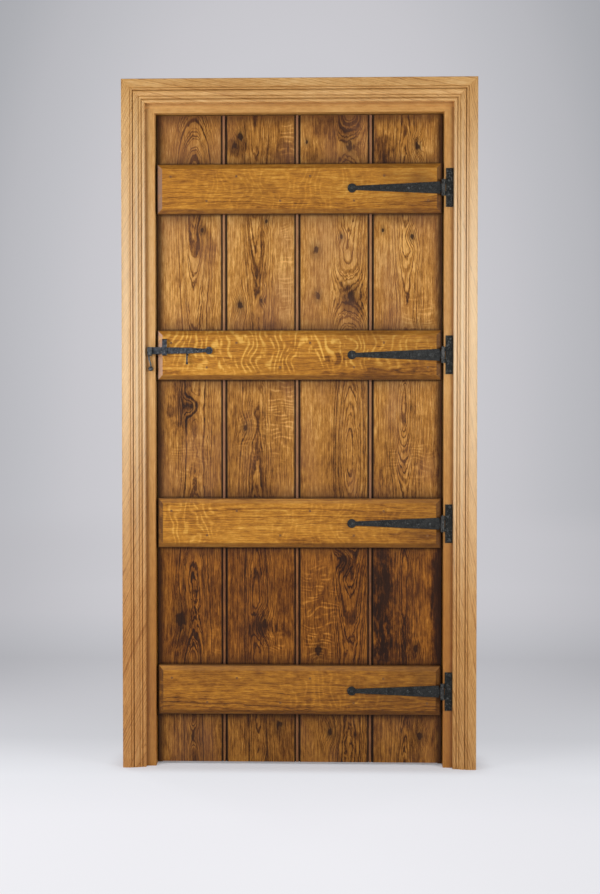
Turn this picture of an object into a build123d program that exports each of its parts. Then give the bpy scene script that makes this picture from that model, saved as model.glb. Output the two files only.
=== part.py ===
from build123d import *
import os

# Ledged oak plank door in its oak lining with a moulded architrave.
# Millimetres. X runs to the viewer's right, Y away from the ledged side, Z up.
# The origin is on the floor, in the middle of the width and of the depth.

os.makedirs("parts", exist_ok=True)

# Leaf and its gaps
leaf_width = 864.0
leaf_height = 1964.0
side_gap = 3.0
head_gap = 3.0
floor_gap = 8.0

# Boards
board_count = 4
first_board_width = 198.0
board_thickness = 22.0
board_gap = 1.0
bead_radius = 4.8
quirk_width = 3.0
tongue_length = 9.0
tongue_thickness = 6.0
tongue_play = 0.3
board_arris = 1.2
board_back_chamfer = 2.0

# Ledges
ledge_count = 4
ledge_height = 149.0
ledge_thickness = 25.0
ledge_end_gap = 4.0
ledge_bevel_width = 15.0
ledge_bevel_depth = 9.0
lowest_ledge_rise = 224.0
ledge_spacing = 508.0
highest_ledge_drop = 224.0
latch_ledge_number = 3

# Cut nails through the ledges into the boards
ledge_nail_inset = 45.0
ledge_nail_rise = 37.0
ledge_nail_head = 6.5
ledge_nail_head_height = 2.0
ledge_nail_tip_cover = 2.0

# Lining and stops
lining_thickness = 45.0
lining_depth = 115.0
housing_depth = 13.0
housing_tongue = 16.0
housing_setback = 14.0
housing_play = 0.2
lining_arris = 1.5
stop_thickness = 13.0
stop_width = 32.0
stop_play = 1.5

# Architrave, and its section as points: in from the outer edge, and down from the top face
architrave_width = 70.0
architrave_thickness = 24.0
architrave_margin = 28.0
outer_arris = 1.5
flat_end = (25.2, 0.0)
flat_quirk = (26.5, 2.2)
bead_start = (27.8, 1.6)
bead_crown = (30.4, 0.1)
bead_end = (32.9, 2.2)
bead_quirk = (34.2, 5.6)
swell_start = (35.7, 2.6)
swell_crown = (39.2, 1.4)
swell_turn = (43.3, 2.8)
swell_fall = (46.7, 4.4)
swell_end = (50.4, 5.2)
swell_quirk = (51.2, 7.4)
fillet_start = (53.0, 6.4)
fillet_end = (58.2, 7.2)
edge_quirk = (59.4, 10.6)
edge_crown = (64.8, 7.8)
edge_drop = 12.5

# Forged nails: square shanks, and hammered rose heads on the ironwork
nail_shank = 3.6
nail_length = 18.0
nail_head_radius = 4.6
nail_head_height = 2.2
nail_head_taper = 35.0
nail_head_facets = 8
driven_play = 0.05
head_nail_length = 80.0
head_nail_spacing = 60.0

# T-hinges
hinge_iron = 3.0
knuckle_radius = 5.8
knuckle_lift = 0.4
knuckle_setback = 3.0
knuckle_height = 48.0
middle_knuckle = 22.0
knuckle_play = 0.3
pin_radius = 2.5
pin_running_gap = 0.08
pin_fit_gap = 0.02
pin_stand = 1.2
web_inset = 2.0
strap_root_gap = 9.0
strap_root_height = 36.0
strap_neck_height = 13.0
strap_penny_radius = 13.5
strap_reach = 273.0
strap_nail_reaches = (38.0, 72.0, 103.5, 166.0)
flap_start = 5.0
flap_width = 22.0
flap_height = 116.0
flap_nail_rises = (50.0, 20.0)
flap_nail_stagger = 3.0

# Latch bar, its pivot and its staple
latch_side_inset = 160.3
latch_rise = 13.5
bar_length = 184.0
bar_iron = 5.0
bar_end_height = 22.0
bar_shoulder = 53.0
bar_shoulder_height = 16.6
bar_neck_height = 10.0
bar_penny_radius = 11.0
bar_washer = 2.0
bar_play = 0.3
pivot_radius = 3.0
pivot_head_radius = 5.5
pivot_head_height = 2.6
pivot_head_taper = 30.0
pivot_washer_radius = 7.0
pivot_depth = 20.0
staple_offset = 134.0
staple_width = 14.0
staple_iron = 3.0
staple_height = 50.0
staple_drop = 15.0
staple_clearance = 0.8
staple_depth = 20.0
staple_corner = 3.5

# Keep on the jamb
keep_width = 13.0
keep_inset = 15.5
keep_shelf = 5.0
keep_nose_gap = 1.3
keep_nose_top = 4.0
keep_nose_foot = 9.0
keep_nose_foot_drop = 1.5
keep_nose_height = 21.5
keep_nose_belly = (7.75, 9.4)
keep_tang_width = 8.0
keep_tang_height = 4.0
keep_tang_depth = 26.0
tail_radius = 2.6
tail_start = (-2.6, 0.0)
tail_bow = (-1.9, 11.0)
tail_turn = (1.0, 21.3)
tail_end = (3.0, 34.4)
ball_place = (3.0, 41.0)
ball_radius = 7.4
ball_jamb_gap = 0.4

# Thumb lever and the handle on the far side
lever_offset = 66.3
lever_width = 4.6
lever_height = 6.0
lever_bar_gap = 0.3
lever_nose = 4.5
lever_tail_drop = 30.0
lever_tail_thickness = 2.6
lever_ball_radius = 3.5
lever_travel_room = 12.0
lever_side_play = 1.2
lever_pivot_standoff = 6.0
lever_hub_radius = 4.5
lever_pin_radius = 2.0
plate_iron = 3.0
plate_width = 30.0
plate_penny_radius = 22.0
plate_rise = 16.0
plate_drop = 142.0
plate_nail_rise = 14.0
ear_iron = 3.0
ear_play = 0.4
thumb_reach = 24.0
thumb_radius = 15.0
thumb_iron = 3.5
grip_top_drop = 28.0
grip_bottom_drop = 136.0
grip_reach = 36.0
grip_bend = 26.0
grip_section_width = 16.0
grip_section_depth = 11.0
grip_tenon_radius = 4.0

# Places that follow from the sizes
opening_width = leaf_width + 2 * side_gap
opening_height = floor_gap + leaf_height + head_gap
half_opening = opening_width / 2
outer_half_width = half_opening + architrave_margin + architrave_width
outer_height = opening_height + architrave_margin + architrave_width
total_depth = lining_depth + architrave_thickness
face_y = architrave_thickness - total_depth / 2
back_y = face_y + lining_depth
leaf_left = -leaf_width / 2
leaf_right = leaf_width / 2
board_face_y = face_y + ledge_thickness
board_back_y = board_face_y + board_thickness
board_width = (leaf_width - first_board_width) / (board_count - 1)
board_lefts = [leaf_left] + [leaf_left + first_board_width + n * board_width for n in range(board_count - 1)]
board_rights = board_lefts[1:] + [leaf_right]
leaf_bottom = floor_gap
leaf_top = leaf_bottom + leaf_height
ledge_centres = [leaf_bottom + lowest_ledge_rise + n * ledge_spacing for n in range(ledge_count - 1)]
ledge_centres.append(leaf_top - highest_ledge_drop)
latch_ledge_z = ledge_centres[latch_ledge_number - 1]
hinge_x = half_opening - knuckle_setback
hinge_y = face_y - knuckle_radius - knuckle_lift


def facing_front(x, z, y=face_y):
    """Plane at a point whose normal looks at the viewer."""
    return Plane(origin=(x, y, z), x_dir=(1, 0, 0), z_dir=(0, -1, 0))


def facing_back(x, z, y=board_back_y):
    """Plane at a point whose normal looks away from the viewer."""
    return Plane(origin=(x, y, z), x_dir=(-1, 0, 0), z_dir=(0, 1, 0))


def across(x, y, z):
    """Plane at a point whose normal is X: its own X runs away from the viewer, its own Y up."""
    return Plane(origin=(x, y, z), x_dir=(0, 1, 0), z_dir=(1, 0, 0))


def rose_nails(plane, places):
    """Nails driven into a plane from its front, with faceted heads on it and square shanks behind."""
    with BuildPart() as nails:
        with BuildSketch(plane):
            with Locations(*places):
                Rectangle(nail_shank, nail_shank)
        extrude(amount=-nail_length)
        with BuildSketch(plane):
            with Locations(*places):
                RegularPolygon(nail_head_radius, nail_head_facets)
        extrude(amount=nail_head_height, taper=nail_head_taper)
    return nails


# Nail places, shared by the wood, the iron and the nails
ledge_nail_places = []
for ledge_z in ledge_centres:
    for board_left, board_right in zip(board_lefts, board_rights):
        ledge_nail_places.append((board_left + ledge_nail_inset, ledge_z + ledge_nail_rise))
        ledge_nail_places.append((board_right - ledge_nail_inset, ledge_z - ledge_nail_rise))
strap_nail_places = []
for ledge_z in ledge_centres:
    for reach in (*strap_nail_reaches, strap_reach):
        strap_nail_places.append((hinge_x - reach, ledge_z))
flap_left = half_opening + flap_start
flap_middle = flap_left + flap_width / 2
flap_nail_places = []
for ledge_z in ledge_centres:
    for side in (1, -1):
        flap_nail_places.append((flap_middle + flap_nail_stagger, ledge_z + side * flap_nail_rises[0]))
        flap_nail_places.append((flap_middle - flap_nail_stagger, ledge_z + side * flap_nail_rises[1]))
nail_hole = nail_shank + 2 * driven_play
tongue_middle = half_opening + housing_setback + housing_tongue / 2
head_nail_places = []
for side in (-1, 1):
    for step in (-0.5, 0.5):
        place_y = (face_y + back_y) / 2 + step * head_nail_spacing
        head_nail_places.append((side * tongue_middle, place_y))
lining_top = opening_height + lining_thickness

# Latch places
latch_x = leaf_left + latch_side_inset
latch_z = latch_ledge_z + latch_rise
bar_back_y = face_y - bar_washer - bar_play
bar_front_y = bar_back_y - bar_iron
staple_x = latch_x - staple_offset
staple_bottom = latch_z - staple_drop
staple_top = staple_bottom + staple_height
keep_x = -half_opening - keep_inset
keep_top = latch_z - bar_end_height / 2 - bar_play
lever_x = latch_x - lever_offset
lever_share = (lever_offset - bar_shoulder) / (bar_length - bar_shoulder)
bar_height_at_lever = bar_shoulder_height + lever_share * (bar_end_height - bar_shoulder_height)
lever_top = latch_z - bar_height_at_lever / 2 - lever_bar_gap
lever_z = lever_top - lever_height / 2
plate_back_y = board_back_y + plate_iron
lever_pivot_y = plate_back_y + lever_pivot_standoff
lever_slot_width = lever_width + 2 * lever_side_play
lever_slot_height = lever_height + lever_travel_room
lever_slot_z = lever_z - lever_height / 2 - lever_side_play + lever_slot_height / 2
handle_nail_places = [(0, plate_rise + plate_nail_rise), (0, -plate_drop - plate_nail_rise)]

# Lining jambs: upright boards with a tongue on top that enters the head
for side, name in ((-1, "jamb_latch_side"), (1, "jamb_hinge_side")):
    with BuildPart() as jamb:
        with BuildSketch():
            with Locations((side * (half_opening + lining_thickness / 2), (face_y + back_y) / 2)):
                Rectangle(lining_thickness, lining_depth)
        extrude(amount=opening_height)
        inner_edges = jamb.edges().filter_by(Axis.Z).sort_by(SortBy.DISTANCE)[0:2]
        chamfer(inner_edges, length=lining_arris)
        with BuildSketch(Plane.XY.offset(opening_height)):
            with Locations((side * tongue_middle, (face_y + back_y) / 2)):
                Rectangle(housing_tongue, lining_depth)
        extrude(amount=housing_depth)
        with BuildSketch(Plane.XY.offset(opening_height + housing_depth)):
            with Locations(*[(x, y) for x, y in head_nail_places if x * side > 0]):
                Rectangle(nail_hole, nail_hole)
        extrude(amount=lining_thickness - housing_depth - head_nail_length - driven_play, mode=Mode.SUBTRACT)
        if side > 0:
            with BuildSketch(facing_front(0, 0)):
                with Locations(*flap_nail_places):
                    Rectangle(nail_hole, nail_hole)
            extrude(amount=hinge_iron - nail_length - driven_play, mode=Mode.SUBTRACT)
        else:
            with BuildSketch(facing_front(keep_x, keep_top - keep_shelf / 2)):
                Rectangle(keep_tang_width + 2 * housing_play, keep_tang_height + 2 * housing_play)
            extrude(amount=-keep_tang_depth - housing_play, mode=Mode.SUBTRACT)
    jamb.part.label = name
    export_step(jamb.part, f"parts/{name}.step")

# Lining head: lies on the jambs, with a housing over each tongue
with BuildPart() as head_lining:
    with BuildSketch(Plane.XY.offset(opening_height)):
        with Locations((0, (face_y + back_y) / 2)):
            Rectangle(opening_width + 2 * lining_thickness, lining_depth)
    extrude(amount=lining_thickness)
    with BuildSketch(Plane.XY.offset(opening_height)):
        for side in (-1, 1):
            with Locations((side * tongue_middle, (face_y + back_y) / 2)):
                Rectangle(housing_tongue + 2 * housing_play, lining_depth)
    extrude(amount=housing_depth + housing_play, mode=Mode.SUBTRACT)
    with BuildSketch(Plane.XY.offset(lining_top)):
        with Locations(*head_nail_places):
            Rectangle(nail_hole, nail_hole)
    extrude(amount=-lining_thickness, mode=Mode.SUBTRACT)
head_lining.part.label = "head_lining"
export_step(head_lining.part, "parts/head_lining.step")

# Headless cut nails down through the head into the jambs
with BuildPart() as head_nails:
    with BuildSketch(Plane.XY.offset(lining_top)):
        with Locations(*head_nail_places):
            Rectangle(nail_shank, nail_shank)
    extrude(amount=-head_nail_length)
head_nails.part.label = "head_nails"
export_step(head_nails.part, "parts/head_nails.step")

# Planted stops behind the leaf, the head stop across the tops of the side stops
stop_middle_y = board_back_y + stop_play + stop_width / 2
for side, name in ((-1, "stop_latch_side"), (1, "stop_hinge_side")):
    with BuildPart() as stop:
        with BuildSketch():
            with Locations((side * (half_opening - stop_thickness / 2), stop_middle_y)):
                Rectangle(stop_thickness, stop_width)
        extrude(amount=opening_height - stop_thickness)
        chamfer(stop.edges().filter_by(Axis.Z).sort_by(SortBy.DISTANCE)[0:2], length=lining_arris)
    stop.part.label = name
    export_step(stop.part, f"parts/{name}.step")
with BuildPart() as stop_head:
    with BuildSketch(Plane.XY.offset(opening_height - stop_thickness)):
        with Locations((0, stop_middle_y)):
            Rectangle(opening_width, stop_width)
    extrude(amount=stop_thickness)
stop_head.part.label = "stop_head"
export_step(stop_head.part, "parts/stop_head.step")


def moulding(plane):
    """Architrave section on a plane: X from the outer edge inwards, Y up from the back."""

    def above_back(*points):
        return [(inward, architrave_thickness - down) for inward, down in points]

    edge_foot = (architrave_width, edge_drop)
    with BuildSketch(plane) as section:
        with BuildLine():
            Polyline((0, 0), *above_back((0, outer_arris), (outer_arris, 0), flat_end))
            Polyline(*above_back(flat_end, flat_quirk, bead_start))
            ThreePointArc(*above_back(bead_start, bead_crown, bead_end))
            Polyline(*above_back(bead_end, bead_quirk, swell_start))
            ThreePointArc(*above_back(swell_start, swell_crown, swell_turn))
            ThreePointArc(*above_back(swell_turn, swell_fall, swell_end))
            Polyline(*above_back(swell_end, swell_quirk, fillet_start, fillet_end, edge_quirk))
            ThreePointArc(*above_back(edge_quirk, edge_crown, edge_foot))
            Polyline(*above_back(edge_foot), (architrave_width, 0), (0, 0))
        make_face()
    return section.sketch


# Architrave: one moulding on three lengths, mitred at the top corners
mitres = {}
for side in (-1, 1):
    mitres[side] = Plane(origin=(side * outer_half_width, 0, outer_height), z_dir=(-side, 0, 1))
with BuildPart() as architrave_latch_side:
    add(moulding(Plane(origin=(-outer_half_width, face_y, 0), x_dir=(1, 0, 0), z_dir=(0, 0, -1))))
    extrude(amount=outer_height, dir=(0, 0, 1))
    split(bisect_by=mitres[-1], keep=Keep.BOTTOM)
architrave_latch_side.part.label = "architrave_latch_side"
export_step(architrave_latch_side.part, "parts/architrave_latch_side.step")

with BuildPart() as architrave_hinge_side:
    add(moulding(Plane(origin=(outer_half_width, face_y, 0), x_dir=(-1, 0, 0), z_dir=(0, 0, 1))))
    extrude(amount=outer_height, dir=(0, 0, 1))
    split(bisect_by=mitres[1], keep=Keep.BOTTOM)
architrave_hinge_side.part.label = "architrave_hinge_side"
export_step(architrave_hinge_side.part, "parts/architrave_hinge_side.step")

with BuildPart() as architrave_head:
    add(moulding(Plane(origin=(-outer_half_width, face_y, outer_height), x_dir=(0, 0, -1), z_dir=(-1, 0, 0))))
    extrude(amount=2 * outer_half_width, dir=(1, 0, 0))
    split(bisect_by=mitres[-1], keep=Keep.TOP)
    split(bisect_by=mitres[1], keep=Keep.TOP)
architrave_head.part.label = "architrave_head"
export_step(architrave_head.part, "parts/architrave_head.step")

# Boards: tongued and grooved, with a bead along the tongued edge of all but the first
tongue_front_y = board_face_y + (board_thickness - tongue_thickness) / 2
tongue_back_y = tongue_front_y + tongue_thickness
for number, (board_left, board_right) in enumerate(zip(board_lefts, board_rights), start=1):
    is_first = number == 1
    is_last = number == board_count
    left = board_left if is_first else board_left + board_gap / 2
    right = board_right if is_last else board_right - board_gap / 2
    with BuildPart() as board:
        with BuildSketch(Plane.XY.offset(leaf_bottom)):
            with BuildLine():
                if is_first:
                    face_start = (left + board_arris, board_face_y)
                    Polyline((left, board_back_y), (left, board_face_y + board_arris), face_start)
                else:
                    bead_foot_y = board_face_y + bead_radius
                    face_start = (left + 2 * bead_radius + quirk_width, board_face_y)
                    Polyline(
                        (left + board_back_chamfer, board_back_y),
                        (left, board_back_y - board_back_chamfer),
                        (left, tongue_back_y),
                        (left - tongue_length, tongue_back_y),
                        (left - tongue_length, tongue_front_y),
                        (left, tongue_front_y),
                        (left, bead_foot_y),
                    )
                    ThreePointArc(
                        (left, bead_foot_y),
                        (left + bead_radius, board_face_y),
                        (left + 2 * bead_radius, bead_foot_y),
                    )
                    Polyline(
                        (left + 2 * bead_radius, bead_foot_y),
                        (face_start[0], bead_foot_y),
                        face_start,
                    )
                Polyline(face_start, (right - board_arris, board_face_y), (right, board_face_y + board_arris))
                if is_last:
                    Polyline(
                        (right, board_face_y + board_arris),
                        (right, board_back_y),
                        (left + board_back_chamfer, board_back_y),
                    )
                else:
                    groove_end = right - tongue_length - tongue_play + board_gap
                    Polyline(
                        (right, board_face_y + board_arris),
                        (right, tongue_front_y - tongue_play),
                        (groove_end, tongue_front_y - tongue_play),
                        (groove_end, tongue_back_y + tongue_play),
                        (right, tongue_back_y + tongue_play),
                        (right, board_back_y - board_back_chamfer),
                        (right - board_back_chamfer, board_back_y),
                        (left if is_first else left + board_back_chamfer, board_back_y),
                    )
            make_face()
        extrude(amount=leaf_height)
        with BuildSketch(facing_front(0, 0, board_face_y)):
            with Locations(*[(x, z) for x, z in ledge_nail_places if board_left < x < board_right]):
                Rectangle(nail_hole, nail_hole)
        extrude(amount=ledge_nail_tip_cover - driven_play - board_thickness, mode=Mode.SUBTRACT)
        if board_left < lever_x < board_right:
            with BuildSketch(facing_front(lever_x, lever_slot_z, board_face_y)):
                Rectangle(lever_slot_width, lever_slot_height)
            extrude(amount=-board_thickness, mode=Mode.SUBTRACT)
            with BuildSketch(facing_back(lever_x, lever_z)):
                with Locations(*handle_nail_places):
                    Rectangle(nail_hole, nail_hole)
            extrude(amount=plate_iron - nail_length - driven_play, mode=Mode.SUBTRACT)
    board.part.label = f"board_{number}"
    export_step(board.part, f"parts/board_{number}.step")

# Ledges: bevelled all round and nailed to every board, the nail heads flush
ledge_length = leaf_width - 2 * ledge_end_gap
for number, ledge_z in enumerate(ledge_centres, start=1):
    with BuildPart() as ledge:
        with BuildSketch(facing_front(0, ledge_z, board_face_y)):
            Rectangle(ledge_length, ledge_height)
        extrude(amount=ledge_thickness - ledge_bevel_depth)
        with BuildSketch(facing_front(0, ledge_z, face_y + ledge_bevel_depth)):
            Rectangle(ledge_length, ledge_height)
        with BuildSketch(facing_front(0, ledge_z)):
            Rectangle(ledge_length - 2 * ledge_bevel_width, ledge_height - 2 * ledge_bevel_width)
        loft()
        own_nails = [(x, z) for x, z in ledge_nail_places if abs(z - ledge_z) < ledge_height / 2]
        with BuildSketch(facing_front(0, 0)):
            with Locations(*own_nails):
                Rectangle(ledge_nail_head + 2 * driven_play, ledge_nail_head + 2 * driven_play)
        extrude(amount=-ledge_nail_head_height, mode=Mode.SUBTRACT)
        with BuildSketch(facing_front(0, 0)):
            with Locations(*own_nails):
                Rectangle(nail_hole, nail_hole)
        extrude(amount=-ledge_thickness, mode=Mode.SUBTRACT)
        with BuildSketch(facing_front(0, 0)):
            with Locations(*[(x, z) for x, z in strap_nail_places if z == ledge_z]):
                Rectangle(nail_hole, nail_hole)
        extrude(amount=hinge_iron - nail_length - driven_play, mode=Mode.SUBTRACT)
        if ledge_z == latch_ledge_z:
            with Locations(facing_front(latch_x, latch_z)):
                Hole(pivot_radius + driven_play, pivot_depth)
            with BuildSketch(facing_front(lever_x, lever_slot_z)):
                Rectangle(lever_slot_width, lever_slot_height)
            extrude(amount=-ledge_thickness, mode=Mode.SUBTRACT)
            with BuildSketch(facing_front(staple_x, 0)):
                for leg_z in (staple_bottom + staple_iron / 2, staple_top - staple_iron / 2):
                    with Locations((0, leg_z)):
                        Rectangle(staple_width + 2 * driven_play, staple_iron + 2 * driven_play)
            extrude(amount=-staple_depth - driven_play, mode=Mode.SUBTRACT)
    ledge.part.label = f"ledge_{number}"
    export_step(ledge.part, f"parts/ledge_{number}.step")

# Nails through the ledges into the boards
with BuildPart() as ledge_nails:
    with BuildSketch(facing_front(0, 0)):
        with Locations(*ledge_nail_places):
            Rectangle(ledge_nail_head, ledge_nail_head)
    extrude(amount=-ledge_nail_head_height)
    with BuildSketch(facing_front(0, 0)):
        with Locations(*ledge_nail_places):
            Rectangle(nail_shank, nail_shank)
    extrude(amount=ledge_nail_tip_cover - ledge_thickness - board_thickness)
ledge_nails.part.label = "ledge_nails"
export_step(ledge_nails.part, "parts/ledge_nails.step")

# T-hinges, one on each ledge: strap with a penny end, flap on the jamb, pin through the knuckles
end_knuckle = (knuckle_height - middle_knuckle) / 2 - knuckle_play
for number, ledge_z in enumerate(ledge_centres, start=1):
    penny_x = hinge_x - strap_reach
    neck_x = penny_x + strap_penny_radius
    root_x = hinge_x - strap_root_gap
    with BuildPart() as hinge_strap:
        with BuildSketch(facing_front(0, ledge_z)):
            with BuildLine():
                Polyline(
                    (penny_x, strap_neck_height / 2),
                    (neck_x, strap_neck_height / 2),
                    (root_x, strap_root_height / 2),
                    (root_x, -strap_root_height / 2),
                    (neck_x, -strap_neck_height / 2),
                    (penny_x, -strap_neck_height / 2),
                    close=True,
                )
            make_face()
            with Locations((penny_x, 0)):
                Circle(strap_penny_radius)
            with Locations(((root_x + hinge_x - web_inset) / 2, 0)):
                Rectangle(hinge_x - web_inset - root_x, middle_knuckle)
        extrude(amount=hinge_iron)
        with BuildSketch(Plane.XY.offset(ledge_z - middle_knuckle / 2)):
            with Locations((hinge_x, hinge_y)):
                Circle(knuckle_radius)
        extrude(amount=middle_knuckle)
        with Locations((hinge_x, hinge_y, ledge_z + middle_knuckle / 2)):
            Hole(pin_radius + pin_running_gap, middle_knuckle)
        with BuildSketch(facing_front(0, 0)):
            with Locations(*[(x, z) for x, z in strap_nail_places if z == ledge_z]):
                Rectangle(nail_hole, nail_hole)
        extrude(amount=hinge_iron, mode=Mode.SUBTRACT)
    hinge_strap.part.label = f"hinge_strap_{number}"
    export_step(hinge_strap.part, f"parts/hinge_strap_{number}.step")

    with BuildPart() as hinge_flap:
        with BuildSketch(facing_front(0, ledge_z)):
            with Locations((flap_middle, 0)):
                Rectangle(flap_width, flap_height)
            web_middle = (hinge_x + web_inset + flap_middle) / 2
            for side in (-1, 1):
                with Locations((web_middle, side * (knuckle_height - end_knuckle) / 2)):
                    Rectangle(flap_middle - hinge_x - web_inset, end_knuckle)
        extrude(amount=hinge_iron)
        with BuildSketch(Plane.XY.offset(ledge_z - knuckle_height / 2)):
            with Locations((hinge_x, hinge_y)):
                Circle(knuckle_radius)
        extrude(amount=end_knuckle)
        with BuildSketch(Plane.XY.offset(ledge_z + knuckle_height / 2)):
            with Locations((hinge_x, hinge_y)):
                Circle(knuckle_radius)
        extrude(amount=-end_knuckle)
        with Locations((hinge_x, hinge_y, ledge_z + knuckle_height / 2)):
            Hole(pin_radius + pin_fit_gap, knuckle_height)
        with BuildSketch(facing_front(0, 0)):
            with Locations(*[(x, z) for x, z in flap_nail_places if abs(z - ledge_z) < flap_height / 2]):
                Rectangle(nail_hole, nail_hole)
        extrude(amount=hinge_iron, mode=Mode.SUBTRACT)
    hinge_flap.part.label = f"hinge_flap_{number}"
    export_step(hinge_flap.part, f"parts/hinge_flap_{number}.step")

    with BuildPart() as hinge_pin:
        with BuildSketch(Plane.XY.offset(ledge_z - knuckle_height / 2 - pin_stand)):
            with Locations((hinge_x, hinge_y)):
                Circle(pin_radius)
        extrude(amount=knuckle_height + 2 * pin_stand)
    hinge_pin.part.label = f"hinge_pin_{number}"
    export_step(hinge_pin.part, f"parts/hinge_pin_{number}.step")

strap_nails = rose_nails(facing_front(0, 0, face_y - hinge_iron), strap_nail_places)
strap_nails.part.label = "strap_nails"
export_step(strap_nails.part, "parts/strap_nails.step")

flap_nails = rose_nails(facing_front(0, 0, face_y - hinge_iron), flap_nail_places)
flap_nails.part.label = "flap_nails"
export_step(flap_nails.part, "parts/flap_nails.step")

# Latch bar: forged flat, a penny end on the pivot screw and a broad end over the jamb
with BuildPart() as latch_bar:
    with BuildSketch(facing_front(latch_x, latch_z, bar_back_y)):
        with BuildLine():
            Polyline(
                (0, bar_neck_height / 2),
                (-bar_penny_radius, bar_neck_height / 2),
                (-bar_shoulder, bar_shoulder_height / 2),
                (-bar_length, bar_end_height / 2),
                (-bar_length, -bar_end_height / 2),
                (-bar_shoulder, -bar_shoulder_height / 2),
                (-bar_penny_radius, -bar_neck_height / 2),
                (0, -bar_neck_height / 2),
                close=True,
            )
        make_face()
        Circle(bar_penny_radius)
        Circle(pivot_radius + pin_running_gap, mode=Mode.SUBTRACT)
    extrude(amount=bar_iron)
latch_bar.part.label = "latch_bar"
export_step(latch_bar.part, "parts/latch_bar.step")

# Pivot screw with a washer shoulder that holds the bar off the ledge
with BuildPart() as latch_pivot_screw:
    with BuildSketch(facing_front(latch_x, latch_z, face_y + pivot_depth)):
        Circle(pivot_radius)
    extrude(amount=pivot_depth + bar_washer + bar_iron + 2 * bar_play)
    with BuildSketch(facing_front(latch_x, latch_z)):
        Circle(pivot_washer_radius)
    extrude(amount=bar_washer)
    with BuildSketch(facing_front(latch_x, latch_z, bar_front_y - bar_play)):
        Circle(pivot_head_radius)
    extrude(amount=pivot_head_height, taper=pivot_head_taper)
latch_pivot_screw.part.label = "latch_pivot_screw"
export_step(latch_pivot_screw.part, "parts/latch_pivot_screw.step")

# Staple: a bridge over the bar, its two legs driven into the ledge
staple_inner_y = bar_front_y - staple_clearance
with BuildPart() as latch_staple:
    with BuildSketch(across(staple_x - staple_width / 2, face_y, 0)) as staple_side:
        with BuildLine():
            outer_y = staple_inner_y - staple_iron - face_y
            inner_y = staple_inner_y - face_y
            Polyline(
                (staple_depth, staple_bottom),
                (outer_y, staple_bottom),
                (outer_y, staple_top),
                (staple_depth, staple_top),
                (staple_depth, staple_top - staple_iron),
                (inner_y, staple_top - staple_iron),
                (inner_y, staple_bottom + staple_iron),
                (staple_depth, staple_bottom + staple_iron),
                close=True,
            )
        make_face()
        fillet(staple_side.vertices().group_by(Axis.X)[0], radius=staple_corner)
    extrude(amount=staple_width)
latch_staple.part.label = "latch_staple"
export_step(latch_staple.part, "parts/latch_staple.step")

# Keep on the jamb: tang, shelf under the bar, nose in front of it, and a curled tail with a ball
nose_inner_y = bar_front_y - keep_nose_gap
with BuildPart() as latch_keep:
    with BuildSketch(across(keep_x - keep_width / 2, face_y, keep_top)):
        with BuildLine():
            nose_back = nose_inner_y - face_y
            nose_tip = (nose_back - keep_nose_top, keep_nose_height)
            Polyline((0, 0), (nose_back, 0), (nose_back, keep_nose_height), nose_tip)
            ThreePointArc(
                nose_tip,
                (nose_back - keep_nose_belly[0], keep_nose_belly[1]),
                (nose_back - keep_nose_foot, -keep_nose_foot_drop),
            )
            Polyline(
                (nose_back - keep_nose_foot, -keep_nose_foot_drop),
                (nose_back - keep_nose_top, -keep_shelf),
                (0, -keep_shelf),
                (0, 0),
            )
        make_face()
    extrude(amount=keep_width)
    with BuildSketch(facing_front(keep_x, keep_top - keep_shelf / 2)):
        Rectangle(keep_tang_width, keep_tang_height)
    extrude(amount=-keep_tang_depth)
    tail_plane = facing_front(keep_x, keep_top - keep_shelf / 2, face_y - ball_radius - ball_jamb_gap)
    tail_points = []
    for side_step, down in (tail_start, tail_bow, tail_turn, tail_end):
        tail_points.append(tail_plane.from_local_coords((side_step, -down)))
    with BuildLine() as tail_path:
        upper = ThreePointArc(*tail_points[:3])
        TangentArc(upper @ 1, tail_points[3], tangent=upper % 1)
    with BuildSketch(Plane(origin=tail_path.line @ 0, z_dir=tail_path.line % 0)):
        Circle(tail_radius)
    sweep(path=tail_path.line)
    with Locations(tail_plane.from_local_coords((ball_place[0], -ball_place[1]))):
        Sphere(ball_radius)
latch_keep.part.label = "latch_keep"
export_step(latch_keep.part, "parts/latch_keep.step")

# Thumb lever: arm through the leaf under the bar, hub on the pin, dished press on the far side
arm_front_y = bar_front_y - lever_nose
with BuildPart() as thumb_lever:
    with BuildSketch(across(lever_x - lever_width / 2, 0, lever_z)):
        with BuildLine():
            half = lever_height / 2
            thumb_centre_y = lever_pivot_y + thumb_reach
            Polyline(
                (bar_front_y - bar_play, half),
                (thumb_centre_y, half),
                (thumb_centre_y, half - thumb_iron),
                (lever_pivot_y, -half),
                (bar_front_y, -half),
                (arm_front_y + lever_tail_thickness, -lever_tail_drop + half),
                (arm_front_y, -lever_tail_drop + half),
                (arm_front_y, -half),
                (bar_front_y - bar_play, half),
            )
        make_face()
    extrude(amount=lever_width)
    with BuildSketch(across(lever_x - lever_width / 2, lever_pivot_y, lever_z)):
        Circle(lever_hub_radius)
    extrude(amount=lever_width)
    with Locations((lever_x, arm_front_y + lever_tail_thickness / 2, lever_z - lever_tail_drop + half)):
        Sphere(lever_ball_radius)
    with BuildSketch(Plane.XY.offset(lever_z + lever_height / 2 - thumb_iron)):
        with Locations((lever_x, thumb_centre_y)):
            Circle(thumb_radius)
    extrude(amount=thumb_iron)
    with BuildSketch(across(lever_x - lever_width / 2, lever_pivot_y, lever_z)):
        Circle(lever_pin_radius + pin_running_gap)
    extrude(amount=lever_width, mode=Mode.SUBTRACT)
thumb_lever.part.label = "thumb_lever"
export_step(thumb_lever.part, "parts/thumb_lever.step")

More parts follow.
